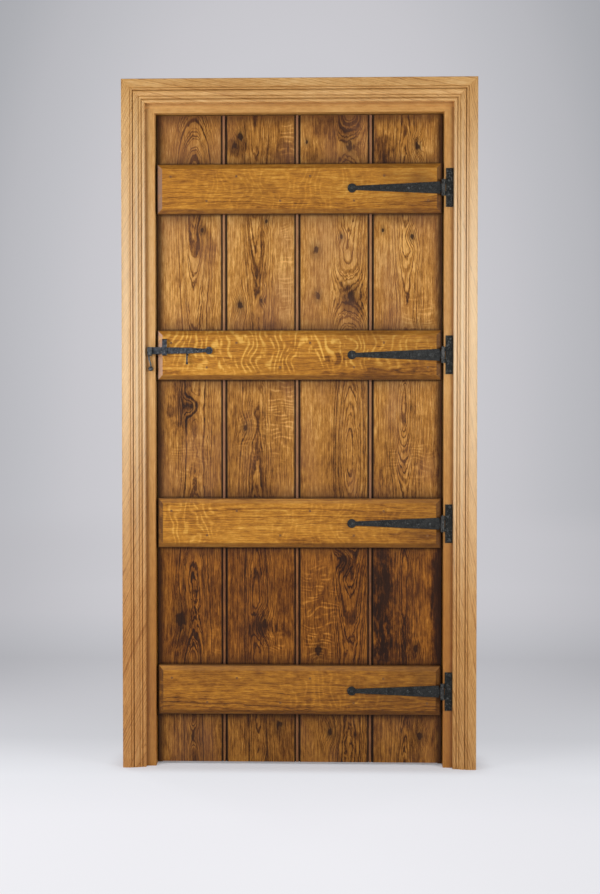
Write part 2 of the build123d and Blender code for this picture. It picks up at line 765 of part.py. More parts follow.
# Handle plate on the far side, with two ears that carry the lever's pin
ear_inner = lever_width / 2 + ear_play
with BuildPart() as handle_plate:
    with BuildSketch(facing_back(lever_x, lever_z)):
        with Locations((0, (plate_rise - plate_drop) / 2)):
            Rectangle(plate_width, plate_rise + plate_drop)
        with Locations((0, plate_rise), (0, -plate_drop)):
            Circle(plate_penny_radius)
        with Locations((0, lever_slot_z - lever_z)):
            Rectangle(lever_slot_width, lever_slot_height, mode=Mode.SUBTRACT)
        with Locations(*handle_nail_places):
            Rectangle(nail_hole, nail_hole, mode=Mode.SUBTRACT)
        with Locations((0, -grip_top_drop), (0, -grip_bottom_drop)):
            Circle(grip_tenon_radius + driven_play, mode=Mode.SUBTRACT)
    extrude(amount=plate_iron)
    for side in (-1, 1):
        ear_x = lever_x + side * ear_inner - (0 if side > 0 else ear_iron)
        with BuildSketch(across(ear_x, plate_back_y, lever_z)):
            with Locations((lever_pivot_standoff / 2, 0)):
                Rectangle(lever_pivot_standoff, 2 * lever_hub_radius)
            with Locations((lever_pivot_standoff, 0)):
                Circle(lever_hub_radius)
                Circle(lever_pin_radius + pin_fit_gap, mode=Mode.SUBTRACT)
        extrude(amount=ear_iron)
handle_plate.part.label = "handle_plate"
export_step(handle_plate.part, "parts/handle_plate.step")

with BuildPart() as thumb_lever_pin:
    pin_length = 2 * (ear_inner + ear_iron)
    with BuildSketch(across(lever_x - pin_length / 2, lever_pivot_y, lever_z)):
        Circle(lever_pin_radius)
    extrude(amount=pin_length)
thumb_lever_pin.part.label = "thumb_lever_pin"
export_step(thumb_lever_pin.part, "parts/thumb_lever_pin.step")

# Bow grip: an oval bar bent into a bow, with a tenon through the plate at each foot
with BuildPart() as handle_grip:
    top_z = lever_z - grip_top_drop
    bottom_z = lever_z - grip_bottom_drop
    with BuildLine() as bow:
        FilletPolyline(
            (lever_x, plate_back_y, top_z),
            (lever_x, plate_back_y + grip_reach, top_z),
            (lever_x, plate_back_y + grip_reach, bottom_z),
            (lever_x, plate_back_y, bottom_z),
            radius=grip_bend,
        )
    with BuildSketch(facing_back(lever_x, top_z, plate_back_y)):
        Ellipse(grip_section_width / 2, grip_section_depth / 2)
    sweep(path=bow.line)
    for foot_z in (top_z, bottom_z):
        with BuildSketch(facing_back(lever_x, foot_z)):
            Circle(grip_tenon_radius)
        extrude(amount=plate_iron)
handle_grip.part.label = "handle_grip"
export_step(handle_grip.part, "parts/handle_grip.step")

handle_nails = rose_nails(facing_back(lever_x, lever_z, plate_back_y), handle_nail_places)
handle_nails.part.label = "handle_nails"
export_step(handle_nails.part, "parts/handle_nails.step")
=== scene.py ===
import math

import bpy
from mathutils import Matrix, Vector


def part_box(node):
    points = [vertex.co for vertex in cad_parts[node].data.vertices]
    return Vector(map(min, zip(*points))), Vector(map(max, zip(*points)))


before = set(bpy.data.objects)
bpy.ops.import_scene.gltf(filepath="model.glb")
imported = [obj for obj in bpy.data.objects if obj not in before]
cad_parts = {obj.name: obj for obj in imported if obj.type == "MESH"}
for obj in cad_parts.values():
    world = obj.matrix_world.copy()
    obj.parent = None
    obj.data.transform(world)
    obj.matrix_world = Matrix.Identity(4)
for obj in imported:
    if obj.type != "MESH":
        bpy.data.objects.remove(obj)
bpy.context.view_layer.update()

# The view: a camera at chest height, four metres in front of the ledged side
# and a little to the right of the middle, with hardly any dip.
camera_dip = 1.38
camera_turn = 1.57
view_camera = bpy.data.cameras.new("view_camera")
view_camera.sensor_fit = "VERTICAL"
view_camera.sensor_height = 36.0
view_camera.lens = 52.8
view_camera.clip_end = 60.0
viewpoint = bpy.data.objects.new("viewpoint", view_camera)
viewpoint.location = (0.111, -4.0, 1.066)
viewpoint.rotation_euler = (math.radians(90.0 - camera_dip), 0.0, math.radians(camera_turn))
bpy.context.scene.collection.objects.link(viewpoint)
bpy.context.scene.camera = viewpoint
bpy.context.scene.view_settings.view_transform = "Standard"


# The studio: a pale paper sweep that runs from the floor up behind the door,
# two soft lamps and two strips in front, one weak lamp over the camera and
# two more that light the far side.
class Value:
    """One output of a node. Arithmetic on it adds Math nodes to the same finish."""

    def __init__(self, finish, socket):
        self.finish = finish
        self.socket = socket

    def maths(self, operation, first, second=0.0):
        settings = {"operation": operation}
        return self.finish.node("ShaderNodeMath", settings, {0: first, 1: second})

    def __add__(self, other):
        return self.maths("ADD", self, other)

    __radd__ = __add__

    def __sub__(self, other):
        return self.maths("SUBTRACT", self, other)

    def __rsub__(self, other):
        return self.maths("SUBTRACT", other, self)

    def __mul__(self, other):
        return self.maths("MULTIPLY", self, other)

    __rmul__ = __mul__

    def __truediv__(self, other):
        return self.maths("DIVIDE", self, other)

    def __rtruediv__(self, other):
        return self.maths("DIVIDE", other, self)

    def __pow__(self, other):
        return self.maths("POWER", self, other)

    def __mod__(self, other):
        return self.maths("MODULO", self, other)

    def __abs__(self):
        return self.maths("ABSOLUTE", self)

    def least(self, other):
        return self.maths("MINIMUM", self, other)

    def most(self, other):
        return self.maths("MAXIMUM", self, other)

    def rise(self, low, high):
        """Turns smoothly from 0 at low to 1 at high, which may be the smaller of the two."""
        return self.finish.node(
            "ShaderNodeMapRange",
            {"interpolation_type": "SMOOTHSTEP"},
            {"Value": self, "From Min": low, "From Max": high, "To Min": 0.0, "To Max": 1.0},
        )

    def beside(self, name):
        """Another output of the same node."""
        return Value(self.finish, self.socket.node.outputs[name])


class Finish:
    """A material, built node by node."""

    def __init__(self, name):
        self.material = bpy.data.materials.new(name)
        self.material.use_nodes = True
        self.nodes = self.material.node_tree.nodes
        self.links = self.material.node_tree.links
        self.nodes.clear()

    def node(self, kind, settings=None, inputs=None, output=0):
        """Adds a node: first its settings, a ramp's stops among them, then its sockets."""
        made = self.nodes.new(kind)
        for key, value in (settings or {}).items():
            if key == "stops":
                ramp = made.color_ramp
                while len(ramp.elements) < len(value):
                    ramp.elements.new(1.0)
                for element, (place, shade) in zip(ramp.elements, value):
                    element.position = place
                    grey = not isinstance(shade, tuple)
                    element.color = (shade, shade, shade, 1.0) if grey else shade
            elif key == "spread":
                made.color_ramp.interpolation = value
            else:
                setattr(made, key, value)
        for key, value in (inputs or {}).items():
            if isinstance(value, Value):
                self.links.new(value.socket, made.inputs[key])
            else:
                made.inputs[key].default_value = value
        return Value(self, made.outputs[output]) if made.outputs else None

    def place(self):
        """The point on the piece, in metres, and its three parts."""
        point = self.node("ShaderNodeTexCoord", output="Object")
        x = self.node("ShaderNodeSeparateXYZ", None, {0: point})
        return point, x, x.beside("Y"), x.beside("Z")

    def stretch(self, point, scale, shift=(0.0, 0.0, 0.0)):
        settings = {"operation": "MULTIPLY_ADD"}
        return self.node("ShaderNodeVectorMath", settings, {0: point, 1: scale, 2: shift})

    def away(self, point, middle, scale):
        """The distance from a middle, with each direction scaled."""
        less, times = {"operation": "SUBTRACT"}, {"operation": "MULTIPLY"}
        offset = self.node("ShaderNodeVectorMath", less, {0: point, 1: middle})
        offset = self.node("ShaderNodeVectorMath", times, {0: offset, 1: scale})
        return self.node("ShaderNodeVectorMath", {"operation": "LENGTH"}, {0: offset}, 1)

    def noise(self, point, scale=1.0, detail=2.0, roughness=0.5):
        sockets = {"Vector": point, "Scale": scale, "Detail": detail, "Roughness": roughness}
        return self.node("ShaderNodeTexNoise", None, sockets)

    def ramp(self, value, stops, spread="LINEAR"):
        return self.node("ShaderNodeValToRGB", {"spread": spread, "stops": stops}, {0: value})

    def blend(self, base, top, amount, mode="MIX"):
        """Lays the colour top over base."""
        settings = {"data_type": "RGBA", "blend_type": mode, "clamp_factor": True}
        return self.node("ShaderNodeMix", settings, {0: amount, 6: base, 7: top}, 2)

    def mix(self, amount, first, second):
        """Goes from the first shader to the second."""
        return self.node("ShaderNodeMixShader", None, {0: amount, 1: first, 2: second})

    def show(self, shader):
        self.node("ShaderNodeOutputMaterial", None, {"Surface": shader})
        return self.material

    def coat(self, colour, roughness, height, relief, **constants):
        """The finished surface: colour, sheen and a relief in metres."""
        bump = {"Strength": 1.0, "Distance": relief, "Height": height}
        normal = self.node("ShaderNodeBump", None, bump)
        sockets = {"Base Color": colour, "Roughness": roughness, "Normal": normal}
        sockets.update({key.replace("_", " "): value for key, value in constants.items()})
        return self.show(self.node("ShaderNodeBsdfPrincipled", None, sockets))


def paint(*seen):
    """A colour as it is seen, 0 to 255, as a linear one."""
    shares = [value / 255 for value in seen]
    return (*[s / 12.92 if s <= 0.04045 else ((s + 0.055) / 1.055) ** 2.4 for s in shares], 1.0)


sweep_half_width = 16.0
sweep_bend_start = 6.5
sweep_bend_radius = 1.5
sweep_bend_steps = 16
sweep_height = 12.0
sweep_profile = [(y, 0.0) for y in (-12.0, -2.0, 0.0, 2.0, sweep_bend_start)]
for step in range(1, sweep_bend_steps + 1):
    turn = math.radians(90.0 * step / sweep_bend_steps)
    out = sweep_bend_start + sweep_bend_radius * math.sin(turn)
    up = sweep_bend_radius - sweep_bend_radius * math.cos(turn)
    sweep_profile.append((out, up))
sweep_profile.append((sweep_bend_start + sweep_bend_radius, sweep_height))
sweep_points = [(x, y, z) for y, z in sweep_profile for x in (-sweep_half_width, sweep_half_width)]
sweep_faces = [(n, n + 1, n + 3, n + 2) for n in range(0, 2 * len(sweep_profile) - 2, 2)]
sweep_mesh = bpy.data.meshes.new("paper_sweep")
sweep_mesh.from_pydata(sweep_points, [], sweep_faces)
for face in sweep_mesh.polygons:
    face.use_smooth = True
paper_sweep = bpy.data.objects.new("paper_sweep", sweep_mesh)
bpy.context.scene.collection.objects.link(paper_sweep)

paper = Finish("studio_paper")
paper_point, paper_x, paper_y, paper_z = paper.place()
wall_span = 3.64
floor_near = -1.4
floor_span = 7.9
wall_side = paper_x + 0.25
wall_rise = paper_z - 1.4
wall_reach = (wall_side * wall_side + wall_rise * wall_rise * 0.3) ** 0.5
# The paper is painted darker away from the middle of the wall, towards the back of the floor and
# out to the sides: a painted falloff of the light.
up_wall = paper.ramp(
    wall_reach / wall_span,
    [
        (0.0, paint(210, 209, 214)),
        (0.45, paint(209, 208, 213)),
        (0.55, paint(205, 204, 209)),
        (0.66, paint(197, 197, 202)),
        (0.75, paint(191, 191, 196)),
        (0.85, paint(180, 181, 186)),
        (1.0, paint(168, 169, 174)),
    ],
)
along_floor = paper.ramp(
    (paper_y - floor_near) / floor_span,
    [
        (0.0, paint(245, 245, 249)),
        (0.108, paint(242, 242, 247)),
        (0.156, paint(236, 237, 242)),
        (0.216, paint(212, 213, 218)),
        (0.292, paint(204, 204, 209)),
        (0.339, paint(198, 198, 203)),
        (0.394, paint(191, 191, 196)),
        (0.458, paint(196, 196, 201)),
        (0.562, paint(204, 203, 208)),
        (0.70, paint(208, 207, 212)),
        (1.0, paint(208, 207, 212)),
    ],
)
bearing = paper_x / (paper_y.most(0.0) + 4.0)
floor_side_shade = abs(bearing).rise(0.12, 0.30) * paper_y.rise(0.4, 1.6) * 0.35
along_floor = paper.blend(along_floor, paint(140, 141, 146), floor_side_shade)
paper_tone = paper.blend(along_floor, up_wall, paper_z.rise(0.0, 0.3))
paper_tone = paper.blend(paper_tone, paint(150, 151, 155), bearing.rise(0.02, 0.23) * 0.09)
paper_fibre = paper.noise(paper_point, 60.0, 3.0)
paper_tone = paper.blend(paper_tone, paint(255, 255, 255), (paper_fibre - 0.5) * 0.03)
plain_paper = paper.node("ShaderNodeBsdfDiffuse", None, {"Color": paper_tone, "Roughness": 0.5})
lit_paper = paper.node("ShaderNodeEmission", None, {"Color": paper_tone, "Strength": 1.0})
under_door = abs(paper_y).rise(0.14, 0.06) * abs(paper_x).rise(0.60, 0.50)
glow = paper_y.rise(0.5, 2.5) * 0.16 + 0.76 - under_door * 0.56
rays = paper.node("ShaderNodeLightPath")
is_seen = rays.beside("Is Camera Ray").most(rays.beside("Is Glossy Ray"))
is_seen = is_seen.most(rays.beside("Is Transmission Ray"))
seen_paper = paper.mix(glow, plain_paper, lit_paper)
sweep_mesh.materials.append(paper.show(paper.mix(is_seen, plain_paper, seen_paper)))


def soft_lamp(name, place, aim, size, watts, tint):
    """A lamp behind a sheet of that width and height, turned towards its aim."""
    lamp = bpy.data.lights.new(name, "AREA")
    lamp.shape = "RECTANGLE"
    lamp.size, lamp.size_y = size
    lamp.energy = watts
    lamp.color = tint
    stand = bpy.data.objects.new(name, lamp)
    stand.location = place
    run = [a - b for a, b in zip(aim, place)]
    level = math.hypot(run[0], run[1])
    stand.rotation_euler = (math.atan2(level, -run[2]), 0.0, math.atan2(-run[0], run[1]))
    stand.visible_camera = False
    bpy.context.scene.collection.objects.link(stand)


warm = (1.0, 0.98, 0.96)
strip_warm = (1.0, 0.98, 0.97)
plain = (1.0, 0.99, 0.98)
soft_lamp("lamp_left", (-1.55, -1.45, 1.45), (-0.1, 0.0, 1.3), (0.7, 0.8), 17.0, warm)
soft_lamp("lamp_right", (1.55, -1.5, 1.45), (0.1, 0.0, 1.3), (0.7, 0.8), 15.0, warm)
soft_lamp("strip_left", (-2.7, -1.35, 1.35), (-0.3, 0.0, 1.3), (0.5, 1.3), 15.0, strip_warm)
soft_lamp("strip_right", (2.7, -1.35, 1.35), (0.3, 0.0, 1.3), (0.5, 1.3), 13.0, strip_warm)
soft_lamp("lamp_front", (0.1, -4.3, 2.1), (0.0, 0.0, 1.4), (1.6, 0.7), 8.0, plain)
soft_lamp("lamp_back_left", (-2.9, 2.6, 1.9), (0.0, 0.0, 1.2), (0.9, 1.2), 60.0, plain)
soft_lamp("lamp_back_right", (2.9, 2.8, 1.9), (0.0, 0.0, 1.2), (0.9, 1.2), 36.0, plain)
studio_air = bpy.data.worlds.new("studio_air")
studio_air.use_nodes = True
air_light = studio_air.node_tree.nodes["Background"].inputs
air_light["Color"].default_value = (0.86, 0.88, 0.93, 1.0)
air_light["Strength"].default_value = 0.28
bpy.context.scene.world = studio_air


# Lining: two jambs and a head in pale natural oak, planed and sealed, the
# jambs tongued up into the head and nailed. Three stops are planted behind.
def by_grain(along, across, deep, length):
    """Three numbers, given across, into and along the grain, in the order x, y, z."""
    return (across, deep, length) if along == "Z" else (length, deep, across)


def oak(name, along, tones, seed, heart, depth, tone, **choices):
    """Oak cut from a log: growth rings round a heart line, with pores and fibres along it.

    along is the axis of the grain. heart is the heart line's place across the
    grain, and depth is its distance behind the face at places along it."""
    ring = choices.get("ring", 0.0048)
    wobble = choices.get("wobble", 0.012)
    reach = choices.get("reach", 0.03)
    finish = Finish(name)
    point, x, y, z = finish.place()
    across, length = (x, z) if along == "Z" else (z, x)
    shift = (seed * 1.7, seed * 0.9, seed * 2.3)

    def grain(wide, deep, long, detail, roughness=0.5):
        scale = by_grain(along, wide, deep, long)
        return finish.noise(finish.stretch(point, scale, shift), 1.0, detail, roughness)

    def ring_by_ring(turns, pace, detail):
        sockets = {"W": turns * pace + seed, "Scale": 1.0, "Detail": detail}
        return finish.node("ShaderNodeTexNoise", {"noise_dimensions": "1D"}, sockets)

    slow = grain(5.0, 4.0, 1.3, 2.0) - 0.5
    quick = grain(34.0, 24.0, 12.0, 2.0) - 0.5
    ripple = grain(120.0, 60.0, 48.0, 2.0) - 0.5
    start, end = depth[0][0], depth[-1][0]
    deepest = max(d for _, d in depth)
    stops = [((place - start) / (end - start), d / deepest) for place, d in depth]
    heart_depth = finish.ramp((length - start) / (end - start), stops, "B_SPLINE") * deepest
    sideways = across - heart + length * choices.get("slope", 0.0)
    sideways = sideways + slow * wobble * 2.6 + quick * wobble * 0.4
    radius = (sideways * sideways + (heart_depth + y) * (heart_depth + y)) ** 0.5
    radius = radius + quick * ring * 1.6 + ripple * ring * 0.8
    knot_cores = None
    for knot_x, knot_z, size, pull in choices.get("knots", ()):
        away = finish.away(point, (knot_x, 0.0, knot_z), by_grain(along, 1.0, 0.0, 0.66))
        away = away + quick * size * 1.3 + ripple * size * 1.6
        radius = radius + away.rise(size * 4.5, 0.0) * pull
        core = away.rise(size * 1.15, size * 0.5).most(away.rise(size * 2.8, size * 0.7) * 0.4)
        knot_cores = core if knot_cores is None else knot_cores.most(core)
    turns = radius / ring
    turns = turns + ring_by_ring(turns, 0.45, 2.0) * 2.6
    vigour = ring_by_ring(turns, 0.8, 1.0)
    early_wood = abs((turns % 1.0) * 2.0 - 1.0).rise(0.3, 0.95)
    fine = grain(700.0, 500.0, 60.0, 3.0, 0.65)
    fibre = grain(250.0, 160.0, 24.0, 4.0, 0.6)
    mottle = grain(75.0, 60.0, 36.0, 3.0, 0.6)
    broad = grain(13.0, 9.0, 3.2, 4.0, 0.55)
    pore = fine.rise(0.5, 0.66)
    crowded = 1.0 - abs(sideways).rise(reach, reach * 2.4) * 0.6
    vein = early_wood * (0.55 + 0.45 * pore) * vigour.rise(0.1, 0.55) * crowded
    streaks = choices.get("streaks", 0.6)
    figure = (mottle - 0.5) * 0.4 + (fibre - 0.5) * streaks + (fine - 0.5) * 0.75
    shade = tone + (broad - 0.5) * 0.55 + figure * choices.get("crisp", 1.0)
    shade = shade - (vein - 0.2) * choices["lines"] - pore * choices["pores"]
    if "flecks" in choices:
        gap = choices.get("gap", 0.42)
        drift = grain(11.0, 9.0, 13.0, 1.0)
        bars = abs(((length / choices["bar"] + 60.0 + drift * 6.0) % 1.0) * 2.0 - 1.0)
        bars = bars.rise(0.35, 0.95) * grain(26.0, 20.0, 60.0, 2.0).rise(gap, gap + 0.16)
        for fleck_x, fleck_z, half_x, half_z, strength in choices["flecks"]:
            away = finish.away(point, (fleck_x, 0.0, fleck_z), (1.0 / half_x, 0.0, 1.0 / half_z))
            zone = away + (broad - 0.5) * 1.2
            shade = shade + zone.rise(1.2, 0.6) * bars * strength
    # A painted light falloff by height, when one is given.
    if "uptake" in choices:
        shade = shade + finish.ramp(z / choices["uptake_reach"], choices["uptake"], "EASE")
    for smoke_x, smoke_z, half_x, half_z, strength in choices.get("smoke", ()):
        away = finish.away(point, (smoke_x, 0.0, smoke_z), (1.0 / half_x, 0.0, 1.0 / half_z))
        zone = away + (broad - 0.5) * 1.6 + (mottle - 0.5) * 1.4
        shade = shade - zone.rise(1.3, 0.3) * strength
    colour = finish.ramp(shade, list(zip((0.0, 0.32, 0.66, 1.0), tones)))
    if knot_cores is not None:
        colour = finish.blend(colour, tones[0], knot_cores * 0.95)
    height = 0.5 - pore * 0.35 - vein * 0.45 + fibre * 0.25
    return finish, point, (x, y, z), colour, height, shade


planed_relief = 0.0004
towards_floor = (1.25, 0.35)
beside_moulding = (0.452, 0.464)
under_moulding = (1.992, 2.003)
pale_tones = (paint(134, 86, 36), paint(186, 132, 66), paint(216, 166, 98), paint(236, 196, 136))
margin_shade_brown = paint(112, 68, 28)
sealed_tint = paint(252, 244, 226)
low_lining_shade = paint(216, 188, 126)


def pale_oak(name, along, seed, heart, depth, **choices):
    return oak(name, along, pale_tones, seed, heart, depth, 0.56, pores=0.12, **choices)


def lining_oak(name, along, seed, heart, depth):
    """Pale oak with a painted shade beside the moulding, and painted darker towards the floor as a
    painted falloff of the light.
    """
    finish, _, (x, _, z), colour, height, shade = pale_oak(
        name, along, seed, heart, depth, lines=0.42
    )
    # Painted shade in the strip beside the moulding.
    margin_shade = abs(x).rise(*beside_moulding) if along == "Z" else z.rise(*under_moulding)
    colour = finish.blend(colour, margin_shade_brown, margin_shade * 0.52)
    golden = x.rise(-0.5, 0.5) * 0.6 + 0.4
    colour = finish.blend(colour, sealed_tint, golden, "MULTIPLY")
    # Painted darker towards the floor: a painted falloff of the light.
    colour = finish.blend(colour, low_lining_shade, z.rise(*towards_floor) * 0.85, "MULTIPLY")
    sheen = 0.32 + 0.1 * shade
    return finish.coat(colour, sheen, height, planed_relief, Specular_IOR_Level=0.5)


def dress(node, material, arris=None):
    """Gives a solid its finish, and rounds its arrises by that much."""
    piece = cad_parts[node]
    piece.data.materials.clear()
    piece.data.materials.append(material)
    if arris:
        softened = piece.modifiers.new("arris", "BEVEL")
        softened.width = arris
        softened.segments = 2
        softened.limit_method = "ANGLE"
        softened.angle_limit = math.radians(32)


jamb_left_depth = [(0.0, 0.06), (1.0, 0.09), (2.0, 0.07)]
jamb_right_depth = [(0.0, 0.08), (1.0, 0.06), (2.0, 0.09)]
head_depth = [(-0.6, 0.07), (0.0, 0.09), (0.6, 0.06)]
jamb_left_oak = lining_oak("jamb_left_oak", "Z", 3.1, -0.52, jamb_left_depth)
jamb_right_oak = lining_oak("jamb_right_oak", "Z", 5.7, 0.53, jamb_right_depth)
head_oak = lining_oak("head_oak", "X", 8.2, 2.09, head_depth)
lining_arris = 0.0006
dress("jamb_latch_side", jamb_left_oak, lining_arris)
dress("jamb_hinge_side", jamb_right_oak, lining_arris)
dress("head_lining", head_oak, lining_arris)
dress("stop_latch_side", jamb_left_oak)
dress("stop_hinge_side", jamb_right_oak)
dress("stop_head", head_oak)

# Architrave: one moulding run in the same pale oak on three lengths, mitred
# at the top corners and pinned to the lining's edge. Its crests carry a painted
# highlight and its quirks a painted shade; a painted sheen lights the middle
# height, more on the right, and it is painted darker towards the floor.
frame_half_width = 0.533
frame_height = 2.073
painted_crest_highlight = paint(252, 226, 184)
painted_face_sheen = paint(252, 224, 182)
quirk_shade_brown = paint(122, 76, 32)
low_moulding_shade = paint(228, 190, 136)
crest_highlights = (
    (0.0120, 0.0140, 0.3),
    (0.0304, 0.0020, 0.35),
    (0.0450, 0.0050, 0.6),
    (0.0665, 0.0045, 0.6),
)
quirk_shades = (
    (0.0268, 0.0016, 0.35),
    (0.0342, 0.0022, 0.5),
    (0.0512, 0.0020, 0.3),
    (0.0594, 0.0024, 0.4),
)


def moulded_oak(name, along, seed, heart, depth, slope):
    """Pale oak on the moulding, with a painted highlight on each crest, a painted shade
    in each quirk, a painted sheen at middle height and painted darkening towards the
    floor. A crest or quirk has its distance from the outer edge, its half width and
    its strength."""
    finish, _, (x, _, z), colour, height, shade = pale_oak(
        name, along, seed, heart, depth, lines=0.58, slope=slope, reach=2.0
    )
    inward = frame_half_width - abs(x) if along == "Z" else frame_height - z
    # A painted sheen over the middle height, stronger on the right.
    lit = z.rise(0.3, 1.2) * z.rise(2.12, 1.5)
    right_side = x.rise(-0.2, 0.2)
    colour = finish.blend(colour, painted_face_sheen, lit * (0.22 + 0.2 * right_side))
    # Painted highlights on the crests.
    for crest, spread, strength in crest_highlights:
        near = abs(inward - crest).rise(spread, spread * 0.2)
        colour = finish.blend(colour, painted_crest_highlight, near * lit * strength)
    # Painted shade in the quirks.
    for quirk, spread, strength in quirk_shades:
        near = abs(inward - quirk).rise(spread, spread * 0.25)
        colour = finish.blend(colour, quirk_shade_brown, near * strength)
    # Painted darker towards the floor, less on the right.
    low = z.rise(*towards_floor) * (0.5 - 0.3 * right_side)
    colour = finish.blend(colour, low_moulding_shade, low, "MULTIPLY")
    sheen = 0.32 + 0.1 * shade
    return finish.coat(colour, sheen, height, planed_relief, Specular_IOR_Level=0.5)


side_left_depth = [(0.0, 0.05), (0.7, 0.075), (1.5, 0.06), (2.1, 0.08)]
side_right_depth = [(0.0, 0.07), (0.9, 0.055), (2.1, 0.075)]
top_depth = [(-0.6, 0.06), (0.0, 0.075), (0.6, 0.055)]
side_left_oak = moulded_oak("side_left_oak", "Z", 11.3, -0.50, side_left_depth, -0.45)
side_right_oak = moulded_oak("side_right_oak", "Z", 14.9, 0.49, side_right_depth, 0.22)
top_oak = moulded_oak("top_oak", "X", 17.4, 2.06, top_depth, 0.2)
dress("architrave_latch_side", side_left_oak)
dress("architrave_hinge_side", side_right_oak)
dress("architrave_head", top_oak)

# Leaf boards: four wide boards of stained and waxed oak, tongued together,
# with a bead along each joint. They carry dirt and painted shade by the ledges,
# painted shade along the sides and the top, a painted contact shadow in the
# crevices, painted shade at the joints and a painted light falloff by height.

# A knot is x, z, size and its pull on the rings. A patch of smoke or of ray
# flecks is x, z, half width, half height and strength.
boards = (
    {
        "left": -0.432,
        "right": -0.234,
        "heart": -0.322,
        "lines": 0.74,
        "depth": [
            (0.0, 0.030),
            (0.35, 0.036),
            (0.62, 0.062),
            (1.0, 0.075),
            (1.45, 0.062),
            (1.80, 0.028),
            (1.99, 0.095),
        ],
        "knots": [
            (-0.2945, 1.628, 0.006, 0.006),
            (-0.329, 1.094, 0.008, 0.012),
            (-0.362, 0.441, 0.021, 0.016),
            (-0.325, 0.085, 0.008, 0.006),
        ],
        "smoke": [
            (-0.36, 0.385, 0.045, 0.05, 0.2),
            (-0.34, 1.09, 0.06, 0.08, 0.25),
            (-0.29, 1.59, 0.04, 0.06, 0.18),
        ],
        "flecks": [(-0.33, 0.93, 0.07, 0.08, 0.12), (-0.25, 0.30, 0.03, 0.2, 0.1)],
    },
    {
        "left": -0.234,
        "right": -0.012,
        "heart": -0.130,
        "lines": 0.64,
        "depth": [
            (0.0, 0.060),
            (0.5, 0.045),
            (0.8, 0.062),
            (1.3, 0.075),
            (1.7, 0.058),
            (1.99, 0.035),
        ],
        "knots": [
            (-0.178, 1.909, 0.010, 0.01),
            (-0.196, 1.882, 0.011, 0.01),
            (-0.100, 1.653, 0.006, 0.006),
            (-0.182, 1.398, 0.010, 0.012),
            (-0.115, 1.414, 0.005, 0.004),
            (-0.163, 1.028, 0.009, 0.010),
            (-0.108, 0.428, 0.012, 0.016),
            (-0.062, 0.125, 0.012, 0.012),
        ],
        "smoke": [
            (-0.06, 1.86, 0.06, 0.05, 0.2),
            (-0.19, 1.88, 0.04, 0.03, 0.2),
            (-0.10, 0.42, 0.06, 0.05, 0.24),
            (-0.13, 1.44, 0.03, 0.16, 0.04),
            (-0.07, 1.33, 0.05, 0.04, 0.2),
        ],
        "flecks": [
            (-0.034, 1.88, 0.025, 0.09, 0.28),
            (-0.044, 1.50, 0.03, 0.17, 0.24),
            (-0.055, 1.07, 0.05, 0.15, 0.26),
            (-0.14, 1.0, 0.05, 0.1, 0.12),
            (-0.08, 0.37, 0.04, 0.05, 0.2),
        ],
    },
    {
        "left": -0.012,
        "right": 0.210,
        "heart": 0.152,
        "lines": 0.72,
        "depth": [
            (0.0, 0.085),
            (0.5, 0.095),
            (0.9, 0.030),
            (1.2, 0.060),
            (1.45, 0.090),
            (1.99, 0.060),
        ],
        "knots": [
            (0.154, 1.877, 0.014, 0.014),
            (0.022, 1.891, 0.006, 0.005),
            (0.051, 1.567, 0.011, 0.006),
            (0.055, 1.429, 0.009, 0.006),
            (0.127, 1.606, 0.005, 0.004),
            (0.154, 1.424, 0.018, 0.016),
            (0.136, 0.630, 0.010, 0.014),
            (0.057, 0.349, 0.012, 0.014),
            (0.092, 0.103, 0.010, 0.014),
        ],
        "smoke": [
            (0.03, 1.85, 0.04, 0.04, 0.25),
            (0.13, 1.93, 0.1, 0.03, 0.2),
            (0.145, 0.607, 0.035, 0.03, 0.22),
            (0.13, 1.19, 0.08, 0.02, 0.28),
            (0.15, 1.41, 0.04, 0.05, 0.2),
        ],
        "flecks": [
            (0.06, 0.50, 0.07, 0.13, 0.26),
            (0.06, 0.36, 0.05, 0.06, 0.26),
            (0.17, 1.90, 0.03, 0.06, 0.12),
        ],
    },
    {
        "left": 0.210,
        "right": 0.432,
        "heart": 0.318,
        "lines": 0.74,
        "depth": [
            (0.0, 0.030),
            (0.25, 0.055),
            (0.62, 0.030),
            (0.84, 0.075),
            (1.09, 0.012),
            (1.34, 0.075),
            (1.6, 0.040),
            (1.99, 0.060),
        ],
        "knots": [
            (0.356, 1.877, 0.008, 0.016),
            (0.253, 1.625, 0.005, 0.004),
            (0.340, 1.608, 0.007, 0.008),
            (0.354, 0.356, 0.008, 0.008),
            (0.367, 0.090, 0.009, 0.018),
        ],
        "smoke": [
            (0.25, 1.87, 0.026, 0.05, 0.35),
            (0.252, 0.50, 0.034, 0.26, 0.42),
            (0.28, 0.36, 0.07, 0.10, 0.3),
            (0.33, 1.30, 0.1, 0.03, 0.2),
            (0.42, 0.5, 0.02, 0.4, 0.36),
            (0.27, 1.81, 0.08, 0.03, 0.2),
        ],
        "flecks": [(0.34, 0.93, 0.07, 0.07, 0.16), (0.36, 1.37, 0.06, 0.06, 0.16)],
    },
)
stain_tones = (paint(40, 20, 8), paint(112, 66, 22), paint(182, 124, 50), paint(236, 182, 104))
